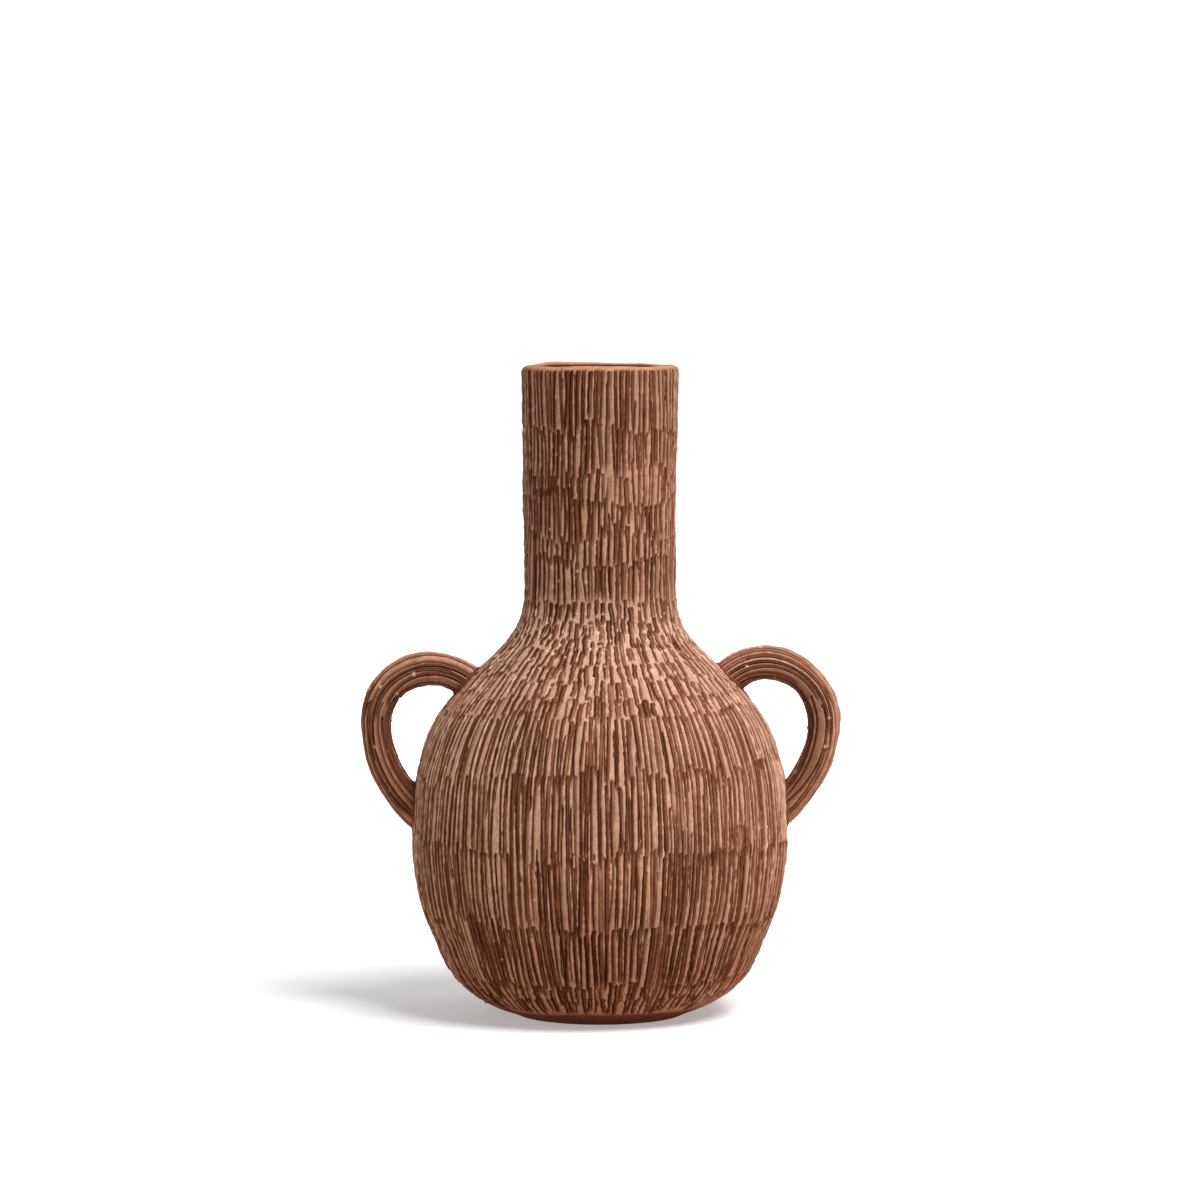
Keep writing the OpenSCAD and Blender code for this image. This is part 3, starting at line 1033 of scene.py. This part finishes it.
def build_luting(side, sign, upper):
    """Fillet of soft clay worked into the corner between a root and the wall."""
    bar = Bar(side, sign)
    columns = 220
    turn = np.linspace(0, 2 * math.pi, columns + 1)
    exits = bar.exits(turn, 0.0)[int(upper)]
    rng = np.random.default_rng(40 + 2 * sign + upper)
    corner = bar.surface(exits, turn)
    flat = np.hypot(corner[:, 0], corner[:, 1])
    inward = -STEP_OFF if upper else STEP_OFF
    up_bar = bar.surface(exits + inward, turn) - corner
    up_bar /= np.linalg.norm(up_bar, axis=1)[:, None]
    facing = OUTSIDE.facing([OUTSIDE.find(z) for z in corner[:, 2]])
    wall_up = np.stack([facing[:, 0] * corner[:, 0] / flat, facing[:, 0] * corner[:, 1] / flat,
                        facing[:, 1]], -1)
    away = corner - corner[:-1].mean(0)
    away -= (away * wall_up).sum(1)[:, None] * wall_up
    away /= np.linalg.norm(away, axis=1)[:, None]
    from_bar = bar.surface(exits, turn, 1.0) - corner
    wide = LUTE_WIDE + drift(rng, turn, 6, 0.5)[:, None]
    tall = LUTE_TALL + drift(rng, turn, 5, 0.55)[:, None]
    foot_ring = corner + wide * away - 0.5 * wall_up
    head_ring = corner + tall * up_bar - 0.35 * from_bar
    heart = corner + 0.35 * (wall_up + from_bar)
    dabs = 0.16 * np.sin(19 * turn + 3 * np.sin(2 * turn))[:, None] * wall_up
    fillet = [(1 - t) ** 2 * head_ring + 2 * t * (1 - t) * heart + t * t * foot_ring
              + dabs * math.sin(math.pi * t) for t in np.linspace(0, 1, FILLET_ROWS + 1)]
    buried = [corner + 0.5 * wide * away - 1.4 * wall_up, corner - 1.2 * wall_up - 1.2 * from_bar,
              corner + 0.5 * tall * up_bar - 1.4 * from_bar]
    grid = np.array([*fillet, *buried, fillet[0]])
    grid[:, -1] = grid[:, 0]
    place = "upper" if upper else "lower"
    wrap(f"{side}_{place}_luting_pressed", grid, {}, luted_terracotta(),
         f"{side}_{place}_luting")


class VASE_OT_handles(bpy.types.Operator):
    """Build the two scored handles"""

    bl_idname = "vase.build_handles"
    bl_label = "Build Handles"

    def execute(self, context):
        """Left and right are alike, with their own small differences."""
        for side, sign in SIDES:
            build_handle(side, sign)
        return {"FINISHED"}


class VASE_OT_luting(bpy.types.Operator):
    """Build the luting clay round the four handle roots"""

    bl_idname = "vase.build_luting"
    bl_label = "Build Luting"

    def execute(self, context):
        """Four thin collars that hide the edge of each joint."""
        for side, sign in SIDES:
            for upper in (False, True):
                build_luting(side, sign, upper)
        return {"FINISHED"}


# ------------------------ stage


class VASE_OT_stage(bpy.types.Operator):
    """Build the floor, the lights and the camera"""

    bl_idname = "vase.build_stage"
    bl_label = "Build Stage"

    def execute(self, context):
        """A pale sweep, one large key light from the right, a weak fill and the camera."""
        studio = context.scene.vase_studio
        context.scene.view_settings.view_transform = "Standard"
        build_floor(studio)
        build_lights(context.scene, studio)
        build_camera(context.scene, studio)
        return {"FINISHED"}


# The floor in metres: its width, where it starts and where it begins to sweep up, the radius of
# the sweep and how steeply its last tenth goes on, then the share of its rows that lie flat.
FLOOR_WIDTH, FLOOR_FRONT, FLOOR_BACK, SWEEP_R, SWEEP_ON, FLAT_SHARE = 16, -5, 4, 3, 4, 0.55


def build_floor(studio):
    """A pale floor that sweeps up behind the vase."""
    bm = bmesh.new()
    bmesh.ops.create_grid(bm, x_segments=2, y_segments=40, size=0.5)
    for vert in bm.verts:
        along = vert.co.y + 0.5
        flat = min(along, FLAT_SHARE) / FLAT_SHARE
        swept = max(0.0, (along - FLAT_SHARE) / (1 - FLAT_SHARE))
        bend = swept * math.pi / 2
        vert.co = Vector((vert.co.x * FLOOR_WIDTH,
                          FLOOR_FRONT + (FLOOR_BACK - FLOOR_FRONT) * flat + SWEEP_R * math.sin(bend),
                          SWEEP_R * (1 - math.cos(bend)) + SWEEP_ON * max(0, swept - 0.9)))
    for face in bm.faces:
        face.smooth = True
    mesh = bpy.data.meshes.new("floor_sweep")
    bm.to_mesh(mesh)
    bm.free()
    paper = bpy.data.materials.new("paper_matt_white")
    paper.use_nodes = True
    sheet = paper.node_tree.nodes["Principled BSDF"].inputs
    sheet["Base Color"].default_value = opaque(studio.floor)
    sheet["Roughness"].default_value = 0.95
    sheet["Emission Color"].default_value = (1, 1, 1, 1)
    sheet["Emission Strength"].default_value = studio.glow
    mesh.materials.append(paper)
    sweep = bpy.data.objects.new("floor_sweep", mesh)
    bpy.context.scene.collection.objects.link(sweep)


def build_lights(scene, studio):
    """Soft key from the upper right and front, weak fill, a wash on the backdrop, and air."""
    vase = (CAD_BOX[0] + CAD_BOX[1]) / 2
    backdrop = Vector((0, 4, 1.2))
    for name, power, size, place, aim in (
            ("key", studio.key, 1.3, (0.95, -1.1, 2.3), vase),
            ("fill", studio.fill, 1.6, (-1.6, -1.8, 0.8), vase),
            ("wash", studio.wash, 3.0, (0, 1.2, 2.6), backdrop)):
        lamp = bpy.data.lights.new(name, "AREA")
        lamp.energy, lamp.size = power, size
        light = bpy.data.objects.new(name, lamp)
        light.location = place
        light.rotation_euler = (aim - Vector(place)).to_track_quat("-Z", "Y").to_euler()
        scene.collection.objects.link(light)
    scene.world = bpy.data.worlds.new("studio_air")
    scene.world.use_nodes = True
    air = scene.world.node_tree.nodes["Background"]
    air.inputs["Color"].default_value = (1, 1, 1, 1)
    air.inputs["Strength"].default_value = studio.ambient


CAMERA_HEIGHT = 0.375  # in metres, a little above the rim
CAMERA_DIP = 4.37  # degrees that it looks down
LENS = 65.25  # focal length in mm for each metre of distance, so the vase keeps its size in view


def build_camera(scene, studio):
    """Camera a little above the rim, looking slightly down."""
    lens = bpy.data.cameras.new("camera")
    lens.lens = LENS * studio.distance
    camera = bpy.data.objects.new("camera", lens)
    camera.location = (0, -studio.distance, CAMERA_HEIGHT)
    camera.rotation_euler = (math.radians(90 - CAMERA_DIP), 0, 0)
    scene.collection.objects.link(camera)
    scene.camera = camera


class VASE_PT_panel(bpy.types.Panel):
    """Lists the settings and the build steps"""

    bl_label = "Carved Vase"
    bl_idname = "VASE_PT_panel"
    bl_space_type = "VIEW_3D"
    bl_region_type = "UI"
    bl_category = "Vase"

    def draw(self, context):
        """Settings first, then one button for each step."""
        for name, kind in GROUPS:
            box = self.layout.box()
            for key in kind.__annotations__:
                box.prop(getattr(context.scene, name), key)
        for step in OPERATORS:
            self.layout.operator(step.bl_idname)


GROUPS = (("vase_carving", CarvingSettings), ("vase_handle", HandleSettings),
          ("vase_clay", ClaySettings), ("vase_studio", StudioSettings))
OPERATORS = (VASE_OT_stage, VASE_OT_base, VASE_OT_courses, VASE_OT_neck, VASE_OT_rim,
             VASE_OT_handles, VASE_OT_luting)


def register():
    """Registers the settings, the operators and the panel."""
    for name, group in GROUPS:
        bpy.utils.register_class(group)
        setattr(bpy.types.Scene, name, bpy.props.PointerProperty(type=group))
    for cls in (*OPERATORS, VASE_PT_panel):
        bpy.utils.register_class(cls)


def unregister():
    """Takes back what register adds."""
    for cls in (VASE_PT_panel, *reversed(OPERATORS)):
        bpy.utils.unregister_class(cls)
    for name, group in reversed(GROUPS):
        delattr(bpy.types.Scene, name)
        bpy.utils.unregister_class(group)


def main():
    """Builds the vase step by step."""
    register()
    bpy.ops.vase.build_stage()
    bpy.ops.vase.build_base()
    bpy.ops.vase.build_courses()
    bpy.ops.vase.build_neck()
    bpy.ops.vase.build_rim()
    bpy.ops.vase.build_handles()
    bpy.ops.vase.build_luting()


if __name__ == "__main__":
    main()
